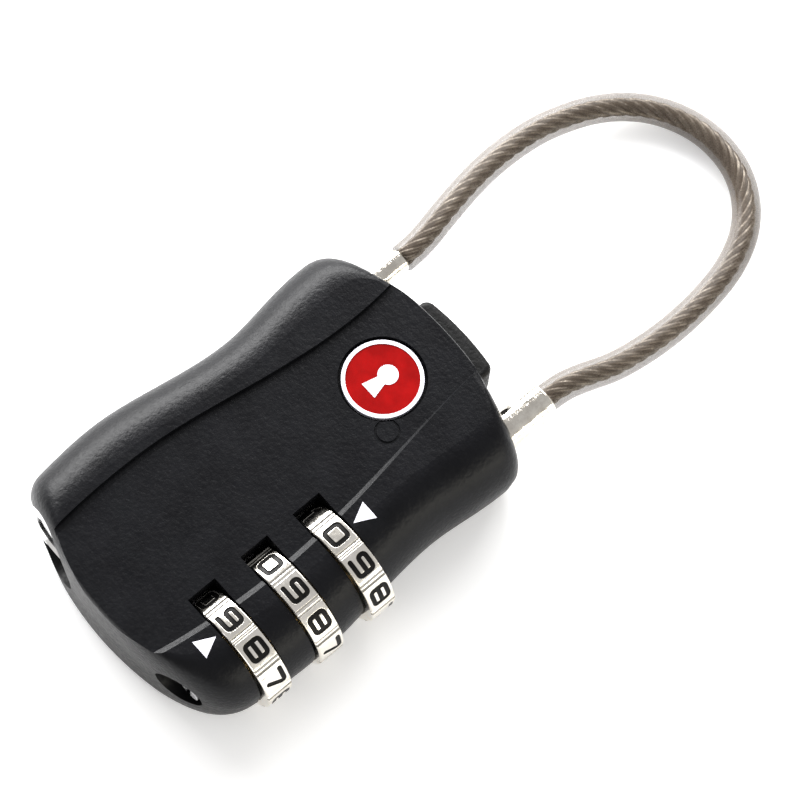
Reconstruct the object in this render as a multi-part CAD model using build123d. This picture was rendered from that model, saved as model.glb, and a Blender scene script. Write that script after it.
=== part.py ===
"""Luggage combination padlock with a cable shackle, in millimetres.

The lock lies on its back: +Z is out of the front face, +Y is towards the shackle, +X is towards the dials.
The origin is the middle of the flat back.
"""

import math
import os

from build123d import *

# Case
BOTTOM_END_Y = -22.5
TOP_END_Y = 21.85
OUTSIDE_Y = 24.0
CASE_HEIGHT = 12.4
PARTING_Z = 6.45
HALF_WIDTH = 15.95
FRONT_FLANK = 5.8
BACK_FLANK = 3.6
FRONT_ROUND = 1.0
BACK_ROUND = 1.5
STRETCH = 1.001
END_CORNER_X = 10.5
BOTTOM_SAG = 1.65
TOP_SAG = 1.3
SHELL_STEP = 0.12
PANEL_DEPTH = 0.4
CUT_TOP_Z = CASE_HEIGHT + 1
GROOVE_WIDTH = 0.6
GROOVE_DEPTH = 0.55
PIN_RADIUS = 1.0
HEAD_RADIUS = 1.75
HEAD_SEAT = 0.8
RIVET_PLACES = ((-1.6, -18.6), (-8.4, 4.6), (0.2, 6.0))

# Dials
AXIS_X = 10.3
STEM_X = 10.7
AXIS_Z = PARTING_Z
DIAL_RADIUS = 6.3
DIAL_WIDTH = 3.0
DIAL_BORE = 3.3
DIAL_COUNT = 3
DIAL_PITCH = 6.65
FIRST_DIAL_Y = -13.8
DIGITS = 10
DIGIT_LIFT = 0.14
DIAL_RESTS = (-3.5, 14.5, -1.5)
READ_TILT = -8.0
PAD_GAP = 0.7
NOTCH_WIDTH = 0.9
NOTCH_DEPTH = 0.6
SLOT_WIDTH = 3.4
SLOT_LEFT_X = 4.8
BACK_SLOT_HALF = 3.2
POCKET_RADIUS = DIAL_RADIUS + 0.35
BARREL_BORE = 3.55
BARREL_PAST_FIRST = 3.2
BARREL_PAST_LAST = 2.2

# Shafts on the dial axis
SLEEVE_RADIUS = 3.2
SLEEVE_BORE = 1.75
SLEEVE_LENGTH = 5.6
GATE_WIDTH = 1.1
LUG_SIZE = (0.7, 1.6, 1.1)
SPINDLE_RADIUS = 1.4
SPINDLE_END_Y = -20.2
SPINDLE_TIP_Y = 5.2
SPINDLE_FLANGE = 2.1
SPINDLE_KEY = (0.7, 0.5, 0.6)
PEN_SLOT = 0.6
PEN_HOLE_RADIUS = 2.6
PEN_HOLE_X = AXIS_X - 0.6
DIVIDER_RADIUS = 2.2
DIVIDER_Y = 7.5
DIVIDER_THICK = 0.38
STEM_RADIUS = 1.5
STEM_WAIST = 1.15
STEM_TIP_Y = 11.2
STEM_SHOULDER_Y = 12.6
STEM_BORE_Y = 10.5

# Shackle
CABLE_DIAMETER = 3.0
CORE_DIAMETER = 1.9
FERRULE_RADIUS = 1.9
NECK_RADIUS = 1.2
NECK_Y = 19.4
FIXED_X = -9.8
FOOT_Y = 14.0
CLIP_Y = 15.9
CLIP_GROOVE = 0.8
CLIP_RADIUS = 2.6
CLIP_BORE = 1.3
CLIP_OPENING = 1.8
FIXED_FERRULE_END = 25.2
STEM_FERRULE_END = 26.0
RUN = 1.0

# Release
BUTTON_X = 0.6
BUTTON_WIDTH = 10.0
BUTTON_THICK = 5.0
BUTTON_OUT_Y = 24.0
BUTTON_BACK_Y = 19.9
BUTTON_CROWN = 30.0
BUTTON_SIDE_ROUND = 1.0
BUTTON_FACE_ROUND = 0.6
BUTTON_SPRING_X = 3.2
SEAT_Y = 16.6
SEAT_THICK = 0.6
WEDGE_THICK = 1.8
LATCH_Y = 15.4
LATCH_THICK = 1.4
LATCH_LEFT_X = -4.6
LATCH_HALF_HEIGHT = 2.2
WORKS_POCKET = ((-6.6, 13.4, 3.2), (9.6, 19.1, 9.7))
TAIL_POCKET = ((-5.8, -4.8, 5.0), (-3.1, 13.5, 8.0))
DETENT_POCKET = ((2.0, -17.6, 3.0), (4.6, 3.4, 9.9))

# Service key cylinder
KEY_X = -9.3
KEY_RADIUS = 4.3
PLUG_RADIUS = 3.2
KEY_FACE_Y = -20.4
KEY_BACK_Y = -7.0
PLUG_RECESS = 0.5
KEYWAY_DEPTH = 10.0
KEYWAY = ((-0.45, 0.45, -2.1, 2.1), (-0.1, 1.0, -0.4, 0.6), (-0.9, 0.1, -1.5, -0.9))
WAFERS = 5

# Badge and marks on the front
BADGE_Y = 13.7
BADGE_RADIUS = 4.1
BADGE_RIM = 0.4
DIMPLE_PLACE = (4.4, 10.4)
DIMPLE_RADIUS = 1.3
MARK_WIDTH = 2.1
MARK_LENGTH = 2.1
MARKS = ((1.6, -1, 0.45), (-15.9, 1, 0.6))
MARK_LIFT = 0.6

RUNNING = 0.05
GAP = 0.15


def along_y(radius, start, end, x, z=PARTING_Z):
    """A round bar along Y."""
    base = Plane(origin=(x, start, z), x_dir=(1, 0, 0), z_dir=(0, 1, 0))
    return extrude(base * Circle(radius), amount=end - start)


def ring_y(outer, inner, start, end, x, z=PARTING_Z):
    """A tube along Y."""
    return along_y(outer, start, end, x, z) - along_y(inner, start - 1, end + 1, x, z)


def block(low, high):
    """A box between two corners."""
    size = [b - a for a, b in zip(low, high)]
    middle = [(a + b) / 2 for a, b in zip(low, high)]
    return Pos(*middle) * Box(*size)


def spring_y(radius, wire, start, end, turns, x, z=PARTING_Z):
    """A compression spring along Y."""
    helix = Helix(pitch=(end - start - wire) / turns, height=end - start - wire, radius=radius)
    path = Pos(x, start + wire / 2, z) * Rot(-90, 0, 0) * helix
    section = Plane(origin=path @ 0, z_dir=path % 0) * Circle(wire / 2)
    return sweep(section, path=path, is_frenet=True)


def plan(side_scale, end_scale, z):
    """The case's outline seen from the front, drawn in towards its middle."""
    def at(x, y):
        return (x * side_scale, y * end_scale, z)

    def way(x, y):
        return (x * side_scale, y * end_scale, 0)

    end_x = END_CORNER_X
    low_y = BOTTOM_END_Y + BOTTOM_SAG
    high_y = TOP_END_Y - TOP_SAG
    bottom = ThreePointArc(at(-end_x, low_y), at(0, BOTTOM_END_Y), at(end_x, low_y))
    top = ThreePointArc(at(end_x, high_y), at(0, TOP_END_Y), at(-end_x, high_y))
    right = Spline(
        at(15.45, -16.0), at(HALF_WIDTH, -8.0), at(14.5, 9.0), at(15.2, 16.9),
        tangents=[way(0.12, 1), way(0.02, 1)],
    )
    left = Spline(
        at(-15.3, 16.6), at(-14.2, 5.8), at(-HALF_WIDTH, -8.0), at(-15.6, -17.2),
        tangents=[way(-0.02, -1), way(0.12, -1)],
    )
    corners = [
        Spline(bottom @ 1, right @ 0, tangents=[bottom % 1, right % 0]),
        Spline(right @ 1, top @ 0, tangents=[right % 1, top % 0]),
        Spline(top @ 1, left @ 0, tangents=[top % 1, left % 0]),
        Spline(left @ 1, bottom @ 0, tangents=[left % 1, bottom % 0]),
    ]
    return make_face([bottom, corners[0], right, corners[1], top, corners[2], left, corners[3]])


def end_round(reach, sag, facing, height, inset):
    """A wide drum with a rounded rim whose wall is the curved end of the case."""
    half_chord = END_CORNER_X
    radius = (half_chord ** 2 + sag ** 2) / (2 * sag)
    rise = abs(height)
    drum = Pos(0, facing * (reach - radius), -1) * Cylinder(
        radius - inset, rise + 1, align=(Align.CENTER, Align.CENTER, Align.MIN)
    )
    rims = drum.edges().filter_by(GeomType.CIRCLE).sort_by(Axis.Z)
    drum = fillet(rims[-1], FRONT_ROUND if height > 0 else BACK_ROUND)
    if height < 0:
        drum = mirror(drum, about=Plane.XY)
    return Pos(0, 0, PARTING_Z) * drum


def half_case(height, inset=0.0):
    """One half of the case outline, from the parting plane to the front (height > 0) or the back."""
    levels = []
    rise = abs(height)
    flank = FRONT_FLANK if height > 0 else BACK_FLANK
    for angle in (0, 20, 38, 54, 68, 80, 90):
        up = STRETCH * rise * math.sin(math.radians(angle))
        side = flank * (1 - math.cos(math.radians(angle))) + inset
        z = PARTING_Z + math.copysign(up, height)
        levels.append(plan(1 - side / HALF_WIDTH, STRETCH, z))
    body = loft(levels)
    body = body & end_round(-BOTTOM_END_Y, BOTTOM_SAG, -1, height, inset)
    return body & end_round(TOP_END_Y, TOP_SAG, 1, height, inset)


def strip(left_points, right_points, z):
    """A flat face whose two long sides follow curves from the bottom end to the top end."""
    left = Spline(*[(x, y, z) for x, y in left_points])
    right = Spline(*[(x, y, z) for x, y in right_points])
    return make_face([left, right, Line(left @ 0, right @ 0), Line(left @ 1, right @ 1)])


def band(left_points, right_points, bottom_z):
    """A slab between two curves that reaches above the case."""
    return extrude(strip(left_points, right_points, bottom_z), amount=CUT_TOP_Z - bottom_z, dir=(0, 0, 1))


GROOVE_LINE = [(-8.0, -24), (-8.9, -14.5), (-8.7, -6.5), (-7.2, 3.5), (-6.1, 12), (-6.9, 24)]
RIDGE_LINE = [(6.1, -24), (7.5, -16), (8.0, -7), (6.95, 7), (5.7, 17), (5.2, 24)]
RIDGE_WIDTHS = [0.6, 0.6, 0.6, 0.45, 0.2, 0.15]


def shifted(points, by):
    return [(x + by, y) for x, y in points]


def panel_cut():
    """The sunk panel: upright at the groove, with a bevel at the ridge that narrows towards the top end."""
    panel_z = CASE_HEIGHT - PANEL_DEPTH
    spread = (CUT_TOP_Z - panel_z) / PANEL_DEPTH
    rim_line = [(x + width * spread, y) for (x, y), width in zip(RIDGE_LINE, RIDGE_WIDTHS)]
    floor = strip(GROOVE_LINE, RIDGE_LINE, panel_z)
    rim = strip(GROOVE_LINE, rim_line, CUT_TOP_Z)
    return loft([floor, rim], ruled=True)


def dial_y(number):
    return FIRST_DIAL_Y + number * DIAL_PITCH


def dial_pockets():
    """The three windows and the round space behind each of them."""
    cut = None
    for number in range(DIAL_COUNT):
        low = dial_y(number) - SLOT_WIDTH / 2
        high = low + SLOT_WIDTH
        pocket = along_y(POCKET_RADIUS, low, high, AXIS_X)
        pocket += block((SLOT_LEFT_X, low, AXIS_Z), (AXIS_X, high, CASE_HEIGHT + 1))
        pocket += block((AXIS_X - BACK_SLOT_HALF, low, -1), (AXIS_X + BACK_SLOT_HALF, high, AXIS_Z))
        cut = pocket if cut is None else cut + pocket
    return cut


def badge_seat():
    return Pos(0, BADGE_Y, CASE_HEIGHT - PANEL_DEPTH - 0.75) * Cylinder(
        BADGE_RADIUS + 0.35, 2, align=(Align.CENTER, Align.CENTER, Align.MIN)
    )


def triangle(tip_y, facing, bottom_z, top_z):
    """An index mark whose tip points at the read line: facing 1 for a tip towards +Y, -1 for -Y."""
    read_x = AXIS_X + DIAL_RADIUS * math.sin(math.radians(READ_TILT))
    half = MARK_WIDTH / 2
    base_y = tip_y - facing * MARK_LENGTH
    corners = [(read_x, tip_y), (read_x + half, base_y), (read_x - half, base_y)]
    face = make_face(Polyline(*[(x, y, bottom_z) for x, y in corners], close=True))
    return extrude(face, amount=top_z - bottom_z, dir=(0, 0, 1))


def inner_space():
    """The pockets and bores that hold the works, shared by both shells."""
    last_dial = dial_y(DIAL_COUNT - 1) + SLOT_WIDTH / 2
    cut = dial_pockets()
    cut += along_y(BARREL_BORE, dial_y(0) - BARREL_PAST_FIRST, last_dial + BARREL_PAST_LAST, AXIS_X)
    cut += along_y(SPINDLE_RADIUS + RUNNING, SPINDLE_END_Y - 0.2, SPINDLE_TIP_Y + 1.3, AXIS_X)
    cut += along_y(PEN_HOLE_RADIUS, -OUTSIDE_Y, dial_y(0) - SLOT_WIDTH / 2 - 2.9, PEN_HOLE_X)
    cut += along_y(DIVIDER_RADIUS + 0.1, last_dial + 1.5, STEM_BORE_Y + 0.4, AXIS_X)
    cut += along_y(FERRULE_RADIUS + RUNNING, STEM_BORE_Y, OUTSIDE_Y, STEM_X)
    cut += along_y(KEY_RADIUS, -OUTSIDE_Y, KEY_BACK_Y, KEY_X)
    cut += block((KEY_X - 3.6, KEY_BACK_Y - 0.1, 2.6), (KEY_X + 4.6, -1.2, 10.3))
    cut += along_y(FERRULE_RADIUS, FOOT_Y, NECK_Y + 0.05, FIXED_X)
    cut += along_y(NECK_RADIUS + RUNNING, NECK_Y, OUTSIDE_Y, FIXED_X)
    cut += along_y(FERRULE_RADIUS + 0.9, 15.0, 17.6, FIXED_X)
    half_button = BUTTON_WIDTH / 2 + GAP
    half_thick = BUTTON_THICK / 2 + GAP
    low = (BUTTON_X - half_button, 18.5, AXIS_Z - half_thick)
    cut += block(low, (BUTTON_X + half_button, OUTSIDE_Y, AXIS_Z + half_thick))
    for low, high in (WORKS_POCKET, TAIL_POCKET, DETENT_POCKET):
        cut += block(low, high)
    for x, y in RIVET_PLACES:
        cut += Pos(x, y, 0) * Cylinder(PIN_RADIUS, 20)
    return cut


def front_shell():
    shell = half_case(CASE_HEIGHT - PARTING_Z)
    shell -= panel_cut()
    outer_line = shifted(GROOVE_LINE, -GROOVE_WIDTH)
    inner_line = shifted(GROOVE_LINE, 0.02)
    shell -= band(outer_line, inner_line, CASE_HEIGHT - GROOVE_DEPTH)
    shell -= inner_space()
    shell -= badge_seat()
    for tip_y, facing, depth in MARKS:
        shell -= triangle(tip_y, facing, CASE_HEIGHT - depth, CUT_TOP_Z)
    ring = Cylinder(DIMPLE_RADIUS, 0.3) - Cylinder(DIMPLE_RADIUS - 0.25, 0.4)
    return shell - Pos(*DIMPLE_PLACE, CASE_HEIGHT - PANEL_DEPTH) * ring


def back_shell():
    shell = half_case(-PARTING_Z, inset=SHELL_STEP) - inner_space()
    seat = Cylinder(HEAD_RADIUS + GAP, 3, align=(Align.CENTER, Align.CENTER, Align.MAX))
    for x, y in RIVET_PLACES:
        shell -= Pos(x, y, HEAD_SEAT) * seat
    return shell


def rivets():
    """Three headed pins that hold the shells together, set in from the back."""
    pins = None
    for x, y in RIVET_PLACES:
        foot = Pos(x, y, 0.1)
        pin = foot * disc(PIN_RADIUS - 0.02, 9.8)
        pin += foot * disc(HEAD_RADIUS, HEAD_SEAT - 0.15)
        pins = pin if pins is None else pins + pin
    return pins


def digit_pads(y):
    """Ten raised pads round a dial, each as long as a digit."""
    step = 360 / DIGITS
    half = DIAL_WIDTH / 2 - 0.12
    pads = ring_y(DIAL_RADIUS, DIAL_RADIUS - 2 * DIGIT_LIFT, y - half, y + half, AXIS_X)
    for digit in range(DIGITS):
        gap_angle = READ_TILT + (digit + 0.5) * step
        rim = Pos(AXIS_X, y, AXIS_Z) * Rot(0, gap_angle, 0) * Pos(0, 0, DIAL_RADIUS)
        pads -= rim * Box(PAD_GAP, DIAL_WIDTH + 1, 1.2)
    return pads


def dial(number):
    """A number dial; the second one rests nearly half a step round."""
    y = dial_y(number)
    half = DIAL_WIDTH / 2
    body = ring_y(DIAL_RADIUS - DIGIT_LIFT, DIAL_BORE, y - half, y + half, AXIS_X)
    body += digit_pads(y)
    for notch in range(DIGITS):
        turn = READ_TILT + notch * 360 / DIGITS
        rim = Pos(AXIS_X, y, AXIS_Z) * Rot(0, turn, 0) * Pos(0, 0, DIAL_BORE)
        body -= rim * Box(NOTCH_WIDTH, DIAL_WIDTH + 1, 2 * NOTCH_DEPTH)
    return turned(body, DIAL_RESTS[number])


def turned(body, angle):
    """The body turned about the dial axis."""
    return Pos(AXIS_X, 0, AXIS_Z) * Rot(0, angle, 0) * Pos(-AXIS_X, 0, -AXIS_Z) * body


def sleeve(number):
    """A clutch sleeve with a gate for the spindle and two lugs in its dial's notches."""
    y = dial_y(number)
    half = SLEEVE_LENGTH / 2
    body = ring_y(SLEEVE_RADIUS, SLEEVE_BORE, y - half, y + half, AXIS_X)
    gate = Pos(AXIS_X, y, AXIS_Z) * Rot(0, READ_TILT, 0) * Pos(0, 0, SLEEVE_BORE)
    body -= gate * Box(GATE_WIDTH, SLEEVE_LENGTH + 1, 1.6)
    for turn in (0, 180):
        lug = Pos(AXIS_X, y, AXIS_Z) * Rot(0, READ_TILT + 36 + turn, 0) * Pos(0, 0, SLEEVE_RADIUS)
        body += lug * Box(*LUG_SIZE)
    return turned(body, DIAL_RESTS[number])


def spindle():
    """The combination spindle, whose pinned end is pushed with a pen to set a new code."""
    shaft = along_y(SPINDLE_RADIUS, SPINDLE_END_Y, SPINDLE_TIP_Y, AXIS_X)
    slot_low = (AXIS_X - PEN_SLOT / 2, SPINDLE_END_Y - 1, AXIS_Z - 2)
    shaft -= block(slot_low, (AXIS_X + PEN_SLOT / 2, SPINDLE_END_Y + PEN_SLOT, AXIS_Z + 2))
    shaft += along_y(SPINDLE_FLANGE, SPINDLE_TIP_Y - 0.8, SPINDLE_TIP_Y, AXIS_X)
    for number in range(DIAL_COUNT):
        key_y = dial_y(number) + DIAL_PITCH / 2
        key = Pos(AXIS_X, key_y, AXIS_Z) * Rot(0, READ_TILT, 0) * Pos(0, 0, SPINDLE_RADIUS)
        shaft += key * Box(*SPINDLE_KEY)
    return shaft


def reset_spring():
    return spring_y(1.8, 0.35, SPINDLE_TIP_Y + 0.02, DIVIDER_Y - 0.02, 3, AXIS_X)


def ejector_spring():
    start = DIVIDER_Y + DIVIDER_THICK + 0.02
    return spring_y(1.35, 0.3, start, STEM_TIP_Y - 0.02, 4, STEM_X)


def spring_divider():
    """The washer that both springs on the dial axis push against."""
    return along_y(DIVIDER_RADIUS, DIVIDER_Y, DIVIDER_Y + DIVIDER_THICK, AXIS_X)


def detent_spring():
    """A leaf with a finger for each dial."""
    leaf = block((2.5, -17.2, 4.2), (2.8, 3.0, 8.7))
    for number in range(DIAL_COUNT):
        y = dial_y(number)
        leaf += block((2.8, y - 0.7, 5.6), (3.35, y + 0.7, 7.3))
        leaf -= block((2.4, y - 1.9, 4.0), (3.0, y - 1.5, 8.0))
    return leaf


def stem():
    """The ferrule that pulls out of the case, with the groove that the latch holds."""
    body = along_y(FERRULE_RADIUS, STEM_SHOULDER_Y, STEM_FERRULE_END, STEM_X)
    body += along_y(STEM_RADIUS, STEM_TIP_Y, STEM_SHOULDER_Y + 0.1, STEM_X)
    half_groove = LATCH_THICK / 2 + GAP
    body -= ring_y(3, STEM_WAIST, LATCH_Y - half_groove, LATCH_Y + half_groove, STEM_X)
    edges = body.edges().filter_by(GeomType.CIRCLE).group_by(Axis.Y)[-1]
    body = fillet(edges, 0.25)
    return body - along_y(CABLE_DIAMETER / 2, STEM_FERRULE_END - RUN, 30, STEM_X)


def fixed_ferrule():
    """The ferrule that stays in the case: a thick foot with the clip's groove, and a thinner neck."""
    foot = along_y(FERRULE_RADIUS - 0.02, FOOT_Y + 0.1, NECK_Y, FIXED_X)
    foot -= ring_y(3, CLIP_BORE, CLIP_Y, CLIP_Y + CLIP_GROOVE, FIXED_X)
    neck = along_y(NECK_RADIUS, NECK_Y - 0.1, FIXED_FERRULE_END, FIXED_X)
    return foot + chamfer(neck.edges().filter_by(GeomType.CIRCLE).group_by(Axis.Y)[-1], 0.15)


def ferrule_clip():
    """The open ring that keeps the fixed ferrule in the case."""
    end_y = CLIP_Y + CLIP_GROOVE
    clip = ring_y(CLIP_RADIUS, CLIP_BORE + 0.04, CLIP_Y + RUNNING, end_y - RUNNING, FIXED_X)
    half = CLIP_OPENING / 2
    return clip - block((FIXED_X - half, CLIP_Y - 1, PARTING_Z), (FIXED_X + half, end_y + 1, CASE_HEIGHT))


CABLE_POINTS = [
    (FIXED_X, FIXED_FERRULE_END, 6.45),
    (FIXED_X, 27.6, 6.45),
    (-10.9, 32.0, 6.0),
    (-12.1, 37.6, 5.0),
    (-12.5, 42.8, 4.0),
    (-12.1, 47.8, 3.1),
    (-10.2, 53.5, 2.2),
    (-6.6, 57.7, 1.7),
    (-1.4, 59.9, 1.56),
    (4.2, 59.5, 1.6),
    (8.8, 56.4, 1.9),
    (11.5, 51.5, 2.5),
    (12.7, 45.7, 3.4),
    (13.1, 39.8, 4.5),
    (12.6, 34.0, 5.6),
    (STEM_X + 0.75, 30.6, 6.2),
    (STEM_X, 27.8, 6.45),
    (STEM_X, STEM_FERRULE_END - RUN, 6.45),
]


def cable_path():
    """The loop: straight runs joined by tangent arcs, as large as the runs allow."""
    points = [Vector(*p) for p in CABLE_POINTS]
    radii = []
    for before, here, after in zip(points, points[1:], points[2:]):
        turn = (here - before).get_angle(after - here)
        shorter = min((here - before).length, (after - here).length)
        radii.append(0.45 * shorter / math.tan(math.radians(turn) / 2))
    print("cable radii", [round(r, 1) for r in radii])
    return FilletPolyline(*points, radius=radii)


def cable_tube(path, outer, inner=None):
    start = Plane(origin=path @ 0, z_dir=path % 0)
    face = start * Circle(outer / 2)
    if inner:
        face -= start * Circle(inner / 2)
    return sweep(face, path=path)


def push_button():
    """The release button, with the ramp that draws the latch aside."""
    half = BUTTON_WIDTH / 2
    thick = BUTTON_THICK / 2
    low = (BUTTON_X - half, BUTTON_BACK_Y, AXIS_Z - thick)
    cap = block(low, (BUTTON_X + half, BUTTON_OUT_Y + 1, AXIS_Z + thick))
    crown = Pos(BUTTON_X, BUTTON_OUT_Y - BUTTON_CROWN, AXIS_Z) * Cylinder(BUTTON_CROWN, 40)
    cap = cap & crown
    cap = fillet(cap.edges().filter_by(Axis.Z), BUTTON_SIDE_ROUND)
    cap = fillet(cap.faces().sort_by(Axis.Y)[-1].edges(), BUTTON_FACE_ROUND)
    corners = [(-0.8, 14.8), (-0.8, 16.1), (-1.8, 17.3), (-1.8, 20.0), (0.7, 20.0), (0.7, 14.8)]
    low_z = AXIS_Z - WEDGE_THICK / 2
    wedge = make_face(Polyline(*[(BUTTON_X + x, y, low_z) for x, y in corners], close=True))
    return cap + extrude(wedge, amount=WEDGE_THICK, dir=(0, 0, 1))


def button_spring(side):
    start = SEAT_Y + SEAT_THICK + RUNNING
    return spring_y(0.9, 0.28, start, BUTTON_BACK_Y - RUNNING, 3, BUTTON_X + side * BUTTON_SPRING_X)


def latch_plate():
    """The sliding plate beside the stem's groove, with a tail down to the key's cam."""
    low = LATCH_Y - LATCH_THICK / 2
    high = LATCH_Y + LATCH_THICK / 2
    tip_x = STEM_X - FERRULE_RADIUS - 0.1
    corner = (LATCH_LEFT_X, low, AXIS_Z - LATCH_HALF_HEIGHT)
    plate = block(corner, (tip_x, high, AXIS_Z + LATCH_HALF_HEIGHT))
    plate -= block((BUTTON_X - 0.9, low - 1, AXIS_Z - 1.1), (BUTTON_X + 1.9, high + 1, AXIS_Z + 1.1))
    return plate + block((-4.5, -3.4, AXIS_Z - 1.0), (-3.4, low + 0.1, AXIS_Z + 1.0))


def spring_seat():
    """The fixed plate behind the button that its springs push against."""
    half = BUTTON_WIDTH / 2
    end_y = SEAT_Y + SEAT_THICK
    plate = block((BUTTON_X - half, SEAT_Y, AXIS_Z - 3.2), (BUTTON_X + half, end_y, AXIS_Z + 3.2))
    window = (BUTTON_X - 2.1, SEAT_Y - 1, AXIS_Z - 1.2)
    return plate - block(window, (BUTTON_X + 1.1, end_y + 1, AXIS_Z + 1.2))


def latch_spring():
    helix = Helix(pitch=0.42, height=1.7, radius=0.8)
    path = Pos(-6.45, LATCH_Y, AXIS_Z) * Rot(0, 90, 0) * helix
    section = Plane(origin=path @ 0, z_dir=path % 0) * Circle(0.12)
    return sweep(section, path=path, is_frenet=True)


def cylinder_housing():
    body = ring_y(KEY_RADIUS - 0.02, PLUG_RADIUS + RUNNING, KEY_FACE_Y, KEY_BACK_Y, KEY_X)
    rim = body.edges().filter_by(GeomType.CIRCLE).group_by(Axis.Y)[0]
    return chamfer(rim, 0.3)


def key_plug():
    """The plug that the service key turns."""
    face = KEY_FACE_Y + PLUG_RECESS
    plug = along_y(PLUG_RADIUS, face, KEY_BACK_Y + 0.5, KEY_X)
    for number in range(WAFERS):
        y = wafer_y(number)
        low = (KEY_X - 1.95, y - 0.03, PARTING_Z - 2.35)
        plug -= block(low, (KEY_X + 1.95, y + 0.53, PARTING_Z + 2.35))
    for left, right, lower, upper in KEYWAY:
        low = (KEY_X + left, face - 1, PARTING_Z + lower)
        plug -= block(low, (KEY_X + right, face + KEYWAY_DEPTH, PARTING_Z + upper))
    return plug + along_y(1.5, KEY_BACK_Y + 0.4, KEY_BACK_Y + 2.6, KEY_X)


def plug_cam():
    """The cam on the plug's tail; its pin reaches for the latch plate's tail."""
    start = KEY_BACK_Y + 1.0
    cam = ring_y(2.6, 1.52, start, start + 1.2, KEY_X)
    cam += block((KEY_X - 0.8, start, PARTING_Z + 2.2), (KEY_X + 0.8, start + 1.2, PARTING_Z + 3.6))
    return cam + along_y(0.5, start + 0.1, start + 4.0, KEY_X, PARTING_Z + 3.1)


def wafer_y(number):
    return KEY_FACE_Y + 2.0 + number * 1.6


def wafers():
    """The wafers across the plug, each with a window for the key."""
    group = None
    for number in range(WAFERS):
        y = wafer_y(number)
        wafer = block((KEY_X - 1.9, y, PARTING_Z - 2.3), (KEY_X + 1.9, y + 0.5, PARTING_Z + 2.3))
        wafer -= block((KEY_X - 1.0, y - 1, PARTING_Z - 1.7), (KEY_X + 1.1, y + 1, PARTING_Z + 1.7))
        group = wafer if group is None else group + wafer
    return group


def badge_base(z):
    return Pos(0, BADGE_Y, z)


def disc(radius, height):
    """A disc that stands on the origin."""
    return Cylinder(radius, height, align=(Align.CENTER, Align.CENTER, Align.MIN))


def badge_rim():
    ring = disc(BADGE_RADIUS, 0.7) - Pos(0, 0, 0.25) * disc(BADGE_RADIUS - BADGE_RIM, 1)
    return badge_base(CASE_HEIGHT - PANEL_DEPTH - 0.75) * ring


def keyhole(z, height):
    """The badge's keyhole figure."""
    head = Pos(0, BADGE_Y + 0.7, z) * disc(1.05, height)
    corners = [(-0.35, 0.5), (0.35, 0.5), (0.95, -1.9), (-0.95, -1.9)]
    foot = make_face(Polyline(*[(x, BADGE_Y + y, z) for x, y in corners], close=True))
    return head + extrude(foot, amount=height, dir=(0, 0, 1))


def badge_enamel():
    low = CASE_HEIGHT - PANEL_DEPTH - 0.5
    field = badge_base(low) * disc(BADGE_RADIUS - BADGE_RIM, 0.38)
    return field - keyhole(low - 0.1, 1)


def badge_keyhole():
    return keyhole(CASE_HEIGHT - PANEL_DEPTH - 0.5, 0.42)


def index_marks():
    skin = half_case(CASE_HEIGHT - PARTING_Z)
    marks = []
    for tip_y, facing, depth in MARKS:
        mark = triangle(tip_y, facing, CASE_HEIGHT - depth, CASE_HEIGHT + MARK_LIFT)
        marks.extend((mark & skin).solids())
    return Compound(children=marks)


def build():
    path = cable_path()
    parts = {
        "front_shell": front_shell(),
        "back_shell": back_shell(),
        "shell_rivets": rivets(),
        "spindle": spindle(),
        "reset_spring": reset_spring(),
        "spring_divider": spring_divider(),
        "ejector_spring": ejector_spring(),
        "detent_spring": detent_spring(),
        "stem_ferrule": stem(),
        "fixed_ferrule": fixed_ferrule(),
        "ferrule_clip": ferrule_clip(),
        "cable_jacket": cable_tube(path, CABLE_DIAMETER, CORE_DIAMETER),
        "cable_core": cable_tube(path, CORE_DIAMETER),
        "push_button": push_button(),
        "button_spring_left": button_spring(-1),
        "button_spring_right": button_spring(1),
        "spring_seat": spring_seat(),
        "latch_plate": latch_plate(),
        "latch_spring": latch_spring(),
        "cylinder_housing": cylinder_housing(),
        "key_plug": key_plug(),
        "plug_cam": plug_cam(),
        "plug_wafers": wafers(),
        "badge_rim": badge_rim(),
        "badge_enamel": badge_enamel(),
        "badge_keyhole": badge_keyhole(),
        "index_marks": index_marks(),
    }
    for number in range(DIAL_COUNT):
        parts[f"dial_{number + 1}"] = dial(number)
        parts[f"clutch_sleeve_{number + 1}"] = sleeve(number)
    expected = math.pi * CABLE_DIAMETER ** 2 / 4 * path.length
    whole = parts["cable_jacket"].volume + parts["cable_core"].volume
    print("cable length", round(path.length, 1))
    print("cable volume", round(whole, 1), "expected", round(expected, 1))
    return parts


os.makedirs("parts", exist_ok=True)
for name, shape in build().items():
    export_step(shape, f"parts/{name}.step")
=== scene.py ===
import math

import bpy
import numpy as np
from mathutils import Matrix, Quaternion, Vector


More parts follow.
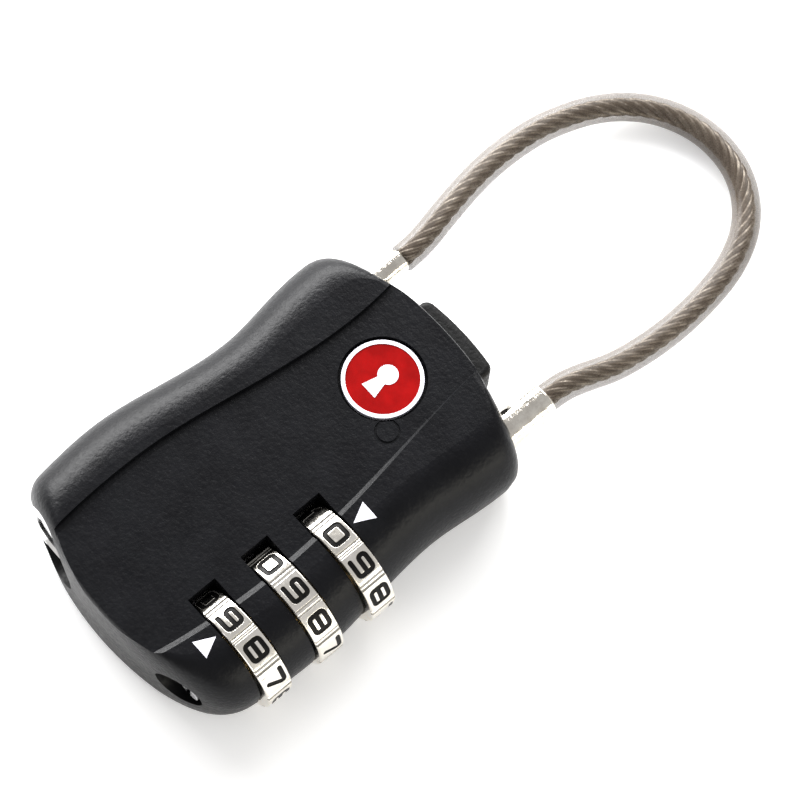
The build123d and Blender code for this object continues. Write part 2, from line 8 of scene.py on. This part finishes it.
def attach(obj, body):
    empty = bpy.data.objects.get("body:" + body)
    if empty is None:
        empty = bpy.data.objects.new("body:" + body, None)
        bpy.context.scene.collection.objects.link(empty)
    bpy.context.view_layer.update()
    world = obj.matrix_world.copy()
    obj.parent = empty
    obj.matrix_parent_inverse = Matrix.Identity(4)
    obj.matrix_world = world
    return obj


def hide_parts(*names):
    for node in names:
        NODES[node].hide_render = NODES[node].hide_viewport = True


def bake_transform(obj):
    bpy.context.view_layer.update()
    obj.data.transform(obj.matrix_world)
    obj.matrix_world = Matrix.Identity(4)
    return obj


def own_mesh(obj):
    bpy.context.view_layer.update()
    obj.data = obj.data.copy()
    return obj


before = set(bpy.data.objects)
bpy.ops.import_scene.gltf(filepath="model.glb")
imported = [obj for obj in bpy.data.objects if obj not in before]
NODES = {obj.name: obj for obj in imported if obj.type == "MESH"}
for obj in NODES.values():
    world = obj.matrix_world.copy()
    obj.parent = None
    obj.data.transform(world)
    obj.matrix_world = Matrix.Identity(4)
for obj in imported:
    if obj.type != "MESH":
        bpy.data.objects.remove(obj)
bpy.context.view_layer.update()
MM = 0.001

scene = bpy.context.scene
scene.view_settings.view_transform = "Standard"


# ---------------------------------------------------------------- camera
CAMERA_AZIMUTH = 42.54
CAMERA_ELEVATION = 69.53
CAMERA_ROLL = 6.32
CAMERA_DISTANCE = 425.0
CAMERA_TARGET = (1.37, 15.03, 6.45)
VIEW_WIDTH = 79.28


def make_camera():
    azimuth = math.radians(CAMERA_AZIMUTH)
    elevation = math.radians(CAMERA_ELEVATION)
    back = Vector((
        math.sin(azimuth) * math.cos(elevation),
        -math.cos(azimuth) * math.cos(elevation),
        math.sin(elevation),
    ))
    data = bpy.data.cameras.new("camera")
    data.sensor_width = 36.0
    data.lens = data.sensor_width * CAMERA_DISTANCE / VIEW_WIDTH
    data.clip_start, data.clip_end = 0.01, 10.0
    camera = bpy.data.objects.new("camera", data)
    scene.collection.objects.link(camera)
    camera.location = (Vector(CAMERA_TARGET) + back * CAMERA_DISTANCE) * MM
    turn = (-back).to_track_quat("-Z", "Y")
    camera.rotation_mode = "QUATERNION"
    camera.rotation_quaternion = turn @ Quaternion((0, 0, 1), math.radians(CAMERA_ROLL))
    scene.camera = camera


make_camera()


# ---------------------------------------------------------------- mesh helpers
def mesh_object(name, points, faces, smooth=True):
    mesh = bpy.data.meshes.new(name)
    mesh.from_pydata([tuple(map(float, p)) for p in points], [], faces)
    mesh.validate()
    mesh.update()
    if smooth:
        mesh.polygons.foreach_set("use_smooth", [True] * len(mesh.polygons))
    made = bpy.data.objects.new(name, mesh)
    scene.collection.objects.link(made)
    return made


def route_points(points, name):
    """Points along a smooth NURBS line with these control points, in metres."""
    data = bpy.data.curves.new(name, "CURVE")
    data.dimensions = "3D"
    spline = data.splines.new("NURBS")
    spline.points.add(len(points) - 1)
    for slot, (x, y, z) in zip(spline.points, points):
        slot.co = (x, y, z, 1)
    spline.order_u = 3
    spline.use_endpoint_u = True
    data.resolution_u = 24
    holder = bpy.data.objects.new(name, data)
    scene.collection.objects.link(holder)
    bpy.context.view_layer.update()
    line = bpy.data.meshes.new_from_object(holder)
    found = np.array([v.co for v in line.vertices], float)
    bpy.data.meshes.remove(line)
    bpy.data.objects.remove(holder)
    bpy.data.curves.remove(data)
    return found


def even(points, step):
    """The same line with points an equal step apart."""
    gaps = np.linalg.norm(np.diff(points, axis=0), axis=1)
    along = np.concatenate([[0], np.cumsum(gaps)])
    wanted = np.linspace(0, along[-1], max(2, int(round(along[-1] / step)) + 1))
    return np.stack([np.interp(wanted, along, points[:, k]) for k in range(3)], 1), wanted


def frames_along(points):
    """A direction and two cross directions at each point, with no twist from one to the next."""
    ahead = np.gradient(points, axis=0)
    ahead /= np.linalg.norm(ahead, axis=1)[:, None]
    side = np.cross(ahead[0], (0, 0, 1.0))
    side /= np.linalg.norm(side)
    sides = []
    for direction in ahead:
        side = side - direction * side.dot(direction)
        side /= np.linalg.norm(side)
        sides.append(side)
    sides = np.array(sides)
    return ahead, sides, np.cross(ahead, sides)


def tube_faces(rings, around, first=0, closed=True):
    faces = []
    for i in range(rings - 1):
        for j in range(around):
            k = (j + 1) % around
            a, b = first + i * around, first + (i + 1) * around
            faces.append((a + j, a + k, b + k, b + j))
    if closed:
        faces.append(tuple(first + j for j in reversed(range(around))))
        last = first + (rings - 1) * around
        faces.append(tuple(last + j for j in range(around)))
    return faces


# ---------------------------------------------------------------- materials
def link(tree, source, target):
    tree.links.new(source, target)


def new_material(name):
    made = bpy.data.materials.new(name)
    made.use_nodes = True
    tree = made.node_tree
    shader = next(n for n in tree.nodes if n.type == "BSDF_PRINCIPLED")
    place = tree.nodes.new("ShaderNodeTexCoord")
    return made, tree, shader, place.outputs["Object"]


def noise(tree, place, scale, detail=3.0, rough=0.55):
    made = tree.nodes.new("ShaderNodeTexNoise")
    made.inputs["Scale"].default_value = scale
    made.inputs["Detail"].default_value = detail
    made.inputs["Roughness"].default_value = rough
    link(tree, place, made.inputs["Vector"])
    return made.outputs["Fac"]


def ramp(tree, value, low, high, start=0.35, end=0.65):
    made = tree.nodes.new("ShaderNodeValToRGB")
    made.color_ramp.elements[0].position = start
    made.color_ramp.elements[1].position = end
    made.color_ramp.elements[0].color = (*low, 1)
    made.color_ramp.elements[1].color = (*high, 1)
    link(tree, value, made.inputs["Fac"])
    return made.outputs["Color"]


def ranged(tree, value, low, high, start=0.3, end=0.7):
    made = tree.nodes.new("ShaderNodeMapRange")
    made.inputs["From Min"].default_value = start
    made.inputs["From Max"].default_value = end
    made.inputs["To Min"].default_value = low
    made.inputs["To Max"].default_value = high
    link(tree, value, made.inputs["Value"])
    return made.outputs["Result"]


def bump(tree, shader, value, strength, depth):
    made = tree.nodes.new("ShaderNodeBump")
    made.inputs["Strength"].default_value = strength
    made.inputs["Distance"].default_value = depth
    link(tree, value, made.inputs["Height"])
    link(tree, made.outputs["Normal"], shader.inputs["Normal"])


def finish(name, low, high, patch, rough, grain, strength, depth, metallic=0.0, **values):
    """A surface whose colour and roughness drift over patches, with a fine grain."""
    made, tree, shader, place = new_material(name)
    patches = noise(tree, place, patch)
    link(tree, ramp(tree, patches, low, high), shader.inputs["Base Color"])
    fine = noise(tree, place, grain, detail=4.0)
    link(tree, ranged(tree, fine, *rough), shader.inputs["Roughness"])
    bump(tree, shader, fine, strength, depth)
    shader.inputs["Metallic"].default_value = metallic
    for socket, value in values.items():
        shader.inputs[socket.replace("_", " ")].default_value = value
    return made


def dress(node, made):
    """Gives a CAD node its material."""
    mesh = NODES[node].data
    mesh.materials.clear()
    mesh.materials.append(made)


BLACK_CASE = finish(
    "black_paint", low=(0.0030, 0.0031, 0.0040), high=(0.0050, 0.0052, 0.0064),
    patch=260, rough=(0.30, 0.40), grain=2300, strength=0.90, depth=0.00006,
    Specular_IOR_Level=0.12,
)
BLACK_BACK = finish(
    "black_paint_back", low=(0.0035, 0.0035, 0.0038), high=(0.0055, 0.0055, 0.0058),
    patch=240, rough=(0.32, 0.44), grain=2300, strength=0.80, depth=0.00006,
    Specular_IOR_Level=0.12,
)
BUTTON_BLACK = finish(
    "button_plastic", low=(0.0040, 0.0040, 0.0040), high=(0.0080, 0.0080, 0.0082),
    patch=900, rough=(0.42, 0.60), grain=2600, strength=0.9, depth=0.00008,
    Specular_IOR_Level=0.14,
)
NICKEL = finish(
    "nickel_plating", low=(0.62, 0.58, 0.51), high=(0.78, 0.74, 0.66),
    patch=900, rough=(0.05, 0.16), grain=1500, strength=0.6, depth=0.00008,
    metallic=1.0,
)
CHROME = finish(
    "chrome_plating", low=(0.80, 0.80, 0.80), high=(0.88, 0.88, 0.87),
    patch=380, rough=(0.06, 0.15), grain=1300, strength=0.3, depth=0.00004,
    metallic=1.0,
)
STEEL = finish(
    "turned_steel", low=(0.50, 0.50, 0.51), high=(0.62, 0.62, 0.63),
    patch=900, rough=(0.22, 0.38), grain=5000, strength=0.4, depth=0.00003,
    metallic=1.0,
)
SPRING_STEEL = finish(
    "spring_wire", low=(0.34, 0.34, 0.36), high=(0.48, 0.48, 0.50),
    patch=1400, rough=(0.20, 0.34), grain=7000, strength=0.4, depth=0.00002,
    metallic=1.0,
)
BRASS = finish(
    "machined_brass", low=(0.66, 0.46, 0.20), high=(0.80, 0.60, 0.30),
    patch=700, rough=(0.18, 0.32), grain=6000, strength=0.4, depth=0.00003,
    metallic=1.0,
)
RED_ENAMEL = finish(
    "red_enamel", low=(0.21, 0.002, 0.002), high=(0.29, 0.003, 0.003),
    patch=520, rough=(0.10, 0.18), grain=1200, strength=0.15, depth=0.00003,
    Specular_IOR_Level=0.15,
)
WHITE_PAINT = finish(
    "white_paint", low=(0.72, 0.71, 0.80), high=(0.86, 0.85, 0.92),
    patch=900, rough=(0.40, 0.60), grain=5200, strength=0.5, depth=0.00004,
)
FLOOR_WHITE = finish(
    "floor_white", low=(0.94, 0.94, 0.94), high=(0.96, 0.96, 0.96),
    patch=12, rough=(0.85, 0.95), grain=60, strength=0.02, depth=0.0005,
    Specular_IOR_Level=0.0, Emission_Color=(1, 1, 1, 1), Emission_Strength=0.25,
)

ROPE_WIRE = finish(
    "rope_wire", low=(0.085, 0.070, 0.056), high=(0.34, 0.30, 0.25),
    patch=1100, rough=(0.22, 0.40), grain=5000, strength=0.4, depth=0.00003,
    metallic=1.0,
)

DRESSES = {
    "front_shell": BLACK_CASE, "back_shell": BLACK_BACK, "push_button": BUTTON_BLACK,
    "shell_rivets": STEEL, "spindle": STEEL, "ferrule_clip": STEEL, "latch_plate": STEEL, "plug_cam": STEEL,
    "spring_seat": STEEL, "reset_spring": SPRING_STEEL, "ejector_spring": SPRING_STEEL,
    "detent_spring": SPRING_STEEL, "button_spring_left": SPRING_STEEL, "button_spring_right": SPRING_STEEL,
    "latch_spring": SPRING_STEEL, "spring_divider": BRASS, "clutch_sleeve_1": BRASS, "clutch_sleeve_2": BRASS,
    "clutch_sleeve_3": BRASS, "plug_wafers": BRASS, "stem_ferrule": NICKEL, "fixed_ferrule": NICKEL,
    "cylinder_housing": CHROME, "key_plug": CHROME, "badge_rim": WHITE_PAINT, "badge_enamel": RED_ENAMEL,
    "badge_keyhole": WHITE_PAINT, "index_marks": WHITE_PAINT,
}
for node, made in DRESSES.items():
    dress(node, made)


# ---------------------------------------------------------------- cable
CABLE_DIAMETER = 3.0
CABLE_ROUTE = [
    (-9.8, 25.2, 6.45), (-9.8, 27.6, 6.45), (-10.9, 32.0, 6.0), (-12.1, 37.6, 5.0), (-12.5, 42.8, 4.0),
    (-12.1, 47.8, 3.1), (-10.2, 53.5, 2.2), (-6.6, 57.7, 1.7), (-1.4, 59.9, 1.56), (4.2, 59.5, 1.6),
    (8.8, 56.4, 1.9), (11.5, 51.5, 2.5), (12.7, 45.7, 3.4), (13.1, 39.8, 4.5), (12.6, 34.0, 5.6),
    (11.45, 30.6, 6.2), (10.7, 27.8, 6.45), (10.7, 25.0, 6.45),
]
JACKET_STEP = 0.30 * MM
JACKET_SIDES = 40
STRANDS = 6
STRAND_RADIUS = 0.33
STRAND_OVERLAP = 0.02
STRAND_STEP = 0.22 * MM
STRAND_SIDES = 24
STRAND_WIRES = 6
WIRE_BULGE = 0.20
LAY_LENGTH = 9.0
WIRE_LAY = 3.2


def coating_material():
    jacket, tree, shader, place = new_material("clear_coating")
    haze = noise(tree, place, 300)
    link(tree, ramp(tree, haze, (0.088, 0.068, 0.052), (0.112, 0.089, 0.069)), shader.inputs["Base Color"])
    fine = noise(tree, place, 2600, detail=4.0)
    link(tree, ranged(tree, fine, 0.22, 0.36), shader.inputs["Roughness"])
    bump(tree, shader, fine, 0.2, 0.00003)
    shader.inputs["Alpha"].default_value = 0.57
    shader.inputs["Specular IOR Level"].default_value = 0.25
    return jacket


def make_jacket(line):
    """The coating, with the line of its middle."""
    path = even(line, JACKET_STEP)[0]
    sides, ups = frames_along(path)[1:]
    angles = np.linspace(0, 2 * np.pi, JACKET_SIDES, endpoint=False)[:, None]
    radius = CABLE_DIAMETER / 2 * MM
    rings = [
        point + radius * (np.cos(angles) * side + np.sin(angles) * up)
        for point, side, up in zip(path, sides, ups)
    ]
    jacket = mesh_object("cable_coating", np.concatenate(rings), tube_faces(len(path), JACKET_SIDES))
    jacket.data.materials.append(coating_material())
    return jacket, path


def make_strands(line):
    """Six strands laid round the cable's middle, each with the bulges of its own wires."""
    path, along = even(line, STRAND_STEP)
    ahead, sides, ups = frames_along(path)
    turns = np.linspace(0, 2 * np.pi, STRAND_SIDES, endpoint=False)
    rings, faces = [], []
    for strand in range(STRANDS):
        phase = 2 * np.pi * strand / STRANDS + 2 * np.pi * along / (LAY_LENGTH * MM)
        out = np.cos(phase)[:, None] * sides + np.sin(phase)[:, None] * ups
        across = np.cross(ahead, out)
        centre = path + out * (2 * STRAND_RADIUS - STRAND_OVERLAP) * MM
        twist = -2 * np.pi * along / (WIRE_LAY * MM)
        first = len(rings) * STRAND_SIDES
        for i in range(len(path)):
            bulge = np.abs(np.cos(STRAND_WIRES / 2 * (turns + twist[i])))
            size = STRAND_RADIUS * MM * (1 - WIRE_BULGE + WIRE_BULGE * bulge)[:, None]
            round_strand = np.cos(turns)[:, None] * out[i] + np.sin(turns)[:, None] * across[i]
            rings.append(centre[i] + size * round_strand)
        faces += tube_faces(len(path), STRAND_SIDES, first)
    strands = mesh_object("cable_rope", np.concatenate(rings), faces)
    strands.data.materials.append(ROPE_WIRE)
    return strands


def make_cable():
    line = route_points([[c * MM for c in p] for p in CABLE_ROUTE], "cable_route")
    jacket, path = make_jacket(line)
    strands = make_strands(line)
    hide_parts("cable_jacket")
    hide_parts("cable_core")
    for piece in (jacket, strands):
        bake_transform(piece)


make_cable()


# ---------------------------------------------------------------- dials
DIAL_X = 10.3
DIAL_Z = 6.45
DIAL_RADIUS = 6.3
DIAL_WIDTH = 3.0
DIAL_SIDE_RADII = (3.35, 4.6, 5.7, 6.0)
DIAL_STEP = 36.0
DIAL_AROUND = 1440
DIAL_ACROSS = 83
READ_TILT = -8.0
HALF_W = 0.90
HALF_H = 0.86
CORNER = 0.42
ARC_POINTS = 6
STROKE = 0.235
INK_DEPTH = 0.11
INK_FADE = (0.01, 0.06)
SUNK_FADE = (-0.06, 0.05)
PAD_HALF = 1.58
PAD_DROP = 0.13
PAD_FADE = 0.16
PAD_FLATNESS = 0.0175
RIDGE_SHARE = 0.6
RIDGE_FADE = (0.05, 0.22)
EDGE_ROUND = 0.16
# painted shade: a dark line just outside each digit pad's edge, in the crease where shade falls; its
# strength, offset and fade
PAD_EDGE_SHADE = 0.7
PAD_EDGE_SHADE_OFFSET = 0.12
PAD_EDGE_SHADE_FADE = (0.04, 0.15)


def rounded(corners, radius):
    """A line through these corners with each corner turned into a small arc."""
    points = [corners[0]]
    for before, here, after in zip(corners, corners[1:], corners[2:]):
        before, here, after = (np.array(p, float) for p in (before, here, after))
        back = (before - here) / np.linalg.norm(before - here)
        on = (after - here) / np.linalg.norm(after - here)
        for t in np.linspace(0, 1, ARC_POINTS):
            points.append(tuple(here + radius * (back * (1 - t) ** 2 + on * t ** 2)))
    return points + [corners[-1]]


def digit_strokes():
    a, b = HALF_W, HALF_H
    lines = {
        0: [[(0, b), (a, b), (a, -b), (-a, -b), (-a, b), (0, b)]],
        1: [[(0.05, b), (0.05, -b)], [(-0.45, b - 0.35), (0.05, b)]],
        2: [[(-a, b), (a, b), (a, 0), (-a, 0), (-a, -b), (a, -b)]],
        3: [[(-a, b), (a, b), (a, 0), (-0.3, 0)], [(-0.3, 0), (a, 0), (a, -b), (-a, -b)]],
        4: [[(0.4, -b), (0.4, b), (-a, -0.3), (a, -0.3)]],
        5: [[(a, b), (-a, b), (-a, 0.1), (a, 0.1), (a, -b), (-a, -b)]],
        6: [[(a, b), (-a, b), (-a, -b), (a, -b), (a, -0.05), (-a, -0.05)]],
        7: [[(-a, b), (a, b), (0, -b)]],
        8: [[(0, b), (a, b), (a, -b), (-a, -b), (-a, b), (0, b)], [(-a, 0), (a, 0)]],
        9: [[(a, 0.05), (-a, 0.05), (-a, b), (a, b), (a, -b), (-a, -b)]],
    }
    return {digit: [rounded(line, CORNER) for line in parts] for digit, parts in lines.items()}


def stroke_distance(px, py, lines):
    """Distance from each point to the nearest stroke's middle line."""
    best = np.full(px.shape, 1e3)
    for line in lines:
        for (x0, y0), (x1, y1) in zip(line, line[1:]):
            dx, dy = x1 - x0, y1 - y0
            t = np.clip(((px - x0) * dx + (py - y0) * dy) / (dx * dx + dy * dy), 0, 1)
            best = np.minimum(best, np.hypot(px - x0 - t * dx, py - y0 - t * dy))
    return best


def smooth(value, low, high):
    t = np.clip((value - low) / (high - low), 0, 1)
    return t * t * (3 - 2 * t)


def dial_material():
    made, tree, shader, place = new_material("plated_dial")
    patches = noise(tree, place, 500)
    plate = ramp(tree, patches, (0.80, 0.76, 0.68), (0.93, 0.89, 0.82))
    # the ink attribute carries the digit ink and the painted shade at the pad edges; both take the black
    # paint colour
    ink = tree.nodes.new("ShaderNodeAttribute")
    ink.attribute_name = "ink"
    mix = tree.nodes.new("ShaderNodeMix")
    mix.data_type = "RGBA"
    link(tree, ink.outputs["Fac"], mix.inputs["Factor"])
    link(tree, plate, mix.inputs["A"])
    paint = ramp(tree, noise(tree, place, 2600), (0.003, 0.003, 0.003), (0.008, 0.007, 0.006))
    link(tree, paint, mix.inputs["B"])
    link(tree, mix.outputs["Result"], shader.inputs["Base Color"])
    metal = ranged(tree, ink.outputs["Fac"], 1.0, 0.0, 0.0, 1.0)
    link(tree, metal, shader.inputs["Metallic"])
    link(tree, ranged(tree, ink.outputs["Fac"], 0.5, 0.12, 0.0, 1.0), shader.inputs["Specular IOR Level"])
    fine = noise(tree, place, 1800, detail=4.0)
    base = ranged(tree, fine, 0.10, 0.24)
    rough = tree.nodes.new("ShaderNodeMath")
    rough.operation = "MULTIPLY_ADD"
    link(tree, ink.outputs["Fac"], rough.inputs[0])
    rough.inputs[1].default_value = 0.25
    link(tree, base, rough.inputs[2])
    link(tree, rough.outputs["Value"], shader.inputs["Roughness"])
    bump(tree, shader, fine, 0.3, 0.00003)
    return made


def dial_relief(first_digit):
    """The outer radius, and the ink with painted shade at the pad edges, on a grid round the dial and across
    it.
    """
    angle = np.arange(DIAL_AROUND) * 360.0 / DIAL_AROUND
    local = (angle + DIAL_STEP / 2) % DIAL_STEP - DIAL_STEP / 2
    which = np.round((angle - local) / DIAL_STEP).astype(int) % 10
    across = np.linspace(-DIAL_WIDTH / 2, DIAL_WIDTH / 2, DIAL_ACROSS)
    around, across = np.meshgrid(np.radians(local) * DIAL_RADIUS, across, indexing="ij")
    strokes = digit_strokes()
    distance = np.zeros(around.shape)
    for k in range(10):
        rows = which == k
        distance[rows] = stroke_distance(around[rows], across[rows], strokes[(first_digit - k) % 10])
    from_middle = np.abs(around)
    ink = 1 - smooth(distance, STROKE + INK_FADE[0], STROKE + INK_FADE[1])
    # painted shade in the crease at each pad edge, joined with the ink below
    pad_edge_shade = PAD_EDGE_SHADE * (1 - smooth(np.abs(from_middle - PAD_HALF - PAD_EDGE_SHADE_OFFSET), *PAD_EDGE_SHADE_FADE))
    gap = smooth(from_middle, PAD_HALF, PAD_HALF + PAD_FADE)
    ridge = 1 - smooth(np.abs(from_middle - np.radians(DIAL_STEP / 2) * DIAL_RADIUS), *RIDGE_FADE)
    edge = smooth(DIAL_WIDTH / 2 - np.abs(across), 0.0, EDGE_ROUND)
    sunk = 1 - smooth(distance, STROKE + SUNK_FADE[0], STROKE + SUNK_FADE[1])
    flat = PAD_FLATNESS * (1 / np.cos(np.radians(local))[:, None] - 1) * DIAL_RADIUS
    drop = PAD_DROP * gap * (1 - RIDGE_SHARE * ridge) + EDGE_ROUND * (1 - edge) ** 2
    radius = DIAL_RADIUS - drop - INK_DEPTH * sunk - flat
    return angle, across, radius, np.maximum(ink, pad_edge_shade)


def make_dial(number, y, first_digit, rest, look):
    """A dial with sunk digits; first_digit is on the read line before the rest turn."""
    angle, across, radius, ink = dial_relief(first_digit)
    theta = np.radians(READ_TILT + rest + angle)[:, None]

    def places(r, along):
        return np.stack([DIAL_X + r * np.sin(theta), y + along, DIAL_Z + r * np.cos(theta)], -1)

    def rim(r, side):
        return places(np.full((DIAL_AROUND, 1), r), np.full((DIAL_AROUND, 1), side * DIAL_WIDTH / 2))

    bands = [rim(r, -1) for r in DIAL_SIDE_RADII]
    bands.append(places(radius, across))
    bands += [rim(r, 1) for r in reversed(DIAL_SIDE_RADII)]
    points = np.concatenate(bands, 1)
    columns = points.shape[1]
    first = len(DIAL_SIDE_RADII)
    # the ink attribute holds the digit ink and the painted shade at the pad edges
    ink_and_shade_all = np.zeros((DIAL_AROUND, columns))
    ink_and_shade_all[:, first:first + DIAL_ACROSS] = ink
    index = np.arange(DIAL_AROUND * columns).reshape(DIAL_AROUND, columns)
    onward = np.roll(index, -1, 0)
    corners = [index, np.roll(index, -1, 1), np.roll(onward, -1, 1), onward]
    faces = np.stack(corners, -1).reshape(-1, 4)
    made = mesh_object(f"number_dial_{number}", points.reshape(-1, 3) * MM, faces.tolist())
    attribute = made.data.attributes.new("ink", "FLOAT", "POINT")
    attribute.data.foreach_set("value", ink_and_shade_all.reshape(-1).astype(np.float32))
    made.data.materials.append(look)
    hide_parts(f"dial_{number}")
    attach(made, f"dial_{number}")


DIAL_LOOK = dial_material()
make_dial(1, -13.8, 9, -3.5, DIAL_LOOK)
make_dial(2, -7.15, 9, 14.5, DIAL_LOOK)
make_dial(3, -0.5, 0, -1.5, DIAL_LOOK)


# ---------------------------------------------------------------- springs that a joint presses
COIL_STEPS = 28
WIRE_SIDES = 10
SPRINGS = (
    ("reset_spring", "reset_push", (10.3, 5.22, 6.45), (0, 1, 0), 1.8, 0.35, 2.26, 3.0, 1.2, 1),
    ("button_spring_left", "button_press", (-2.6, 17.25, 6.45), (0, 1, 0), 0.9, 0.28, 2.6, 3.0, 1.2, 0),
    ("button_spring_right", "button_press", (3.8, 17.25, 6.45), (0, 1, 0), 0.9, 0.28, 2.6, 3.0, 1.2, 0),
    ("latch_spring", "latch_slide", (-6.57, 15.4, 6.45), (1, 0, 0), 0.8, 0.24, 1.94, 4.0, 1.0, 0),
)


def make_spring(node, joint, start, way, radius, wire, length, turns, travel, fixed_end):
    """A coil from start along way, at its full length; travel (how far it is pressed shorter) is not used;
    fixed_end (1 when its far end stays put) is not used.
    """
    start = np.array(start)
    way = np.array(way, float)
    side = np.array((0.0, 0.0, 1.0))
    other = np.cross(way, side)
    share = np.linspace(0, 1, int(turns * COIL_STEPS) + 1)[:, None]
    turn = 2 * np.pi * turns * share
    line = start + way * (wire / 2 + (length - wire) * share)
    line = line + radius * (np.cos(turn) * side + np.sin(turn) * other)
    sides, ups = frames_along(line)[1:]
    angles = np.linspace(0, 2 * np.pi, WIRE_SIDES, endpoint=False)[:, None]
    rings = [
        point + wire / 2 * (np.cos(angles) * across + np.sin(angles) * up)
        for point, across, up in zip(line, sides, ups)
    ]
    made = mesh_object(f"{node}_coil", np.concatenate(rings) * MM, tube_faces(len(line), WIRE_SIDES))
    made.data.materials.append(SPRING_STEEL)
    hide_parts(node)
    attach(made, "case")
    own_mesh(made)


for spring in SPRINGS:
    make_spring(*spring)


# ---------------------------------------------------------------- floor and light
FLOOR_REACH = 1.2


def make_floor():
    corners = [(x * FLOOR_REACH, y * FLOOR_REACH, 0) for x, y in ((-1, -1), (1, -1), (1, 1), (-1, 1))]
    floor = mesh_object("floor", corners, [(0, 1, 2, 3)], smooth=False)
    floor.data.materials.append(FLOOR_WHITE)


def area_light(name, place, target, width, height, power, colour=(1, 1, 1)):
    data = bpy.data.lights.new(name, "AREA")
    data.shape = "RECTANGLE"
    data.size, data.size_y = width, height
    data.energy = power
    data.color = colour
    light = bpy.data.objects.new(name, data)
    scene.collection.objects.link(light)
    light.location = place
    way = Vector(target) - Vector(place)
    light.rotation_mode = "QUATERNION"
    light.rotation_quaternion = way.to_track_quat("-Z", "Y")


def make_world():
    world = bpy.data.worlds.new("studio")
    scene.world = world
    world.use_nodes = True
    tree = world.node_tree
    background = next(n for n in tree.nodes if n.type == "BACKGROUND")
    place = tree.nodes.new("ShaderNodeTexCoord")
    split = tree.nodes.new("ShaderNodeSeparateXYZ")
    link(tree, place.outputs["Generated"], split.inputs["Vector"])
    sky = ramp(tree, split.outputs["Z"], (1.0, 0.985, 0.965), (0.80, 0.80, 0.82), 0.2, 0.9)
    link(tree, sky, background.inputs["Color"])
    background.inputs["Strength"].default_value = 0.72


make_floor()
make_world()
area_light("left", (-0.50, 0.17, 0.20), (0, 0.01, 0), 0.60, 0.28, 10.5)
area_light("high", (-0.12, 0.24, 0.24), (0, 0.03, 0), 0.22, 0.16, 0.85)
area_light("right", (0.50, 0.10, 0.13), (0, 0.01, 0), 0.50, 0.16, 1.3, (1.0, 0.96, 0.84))
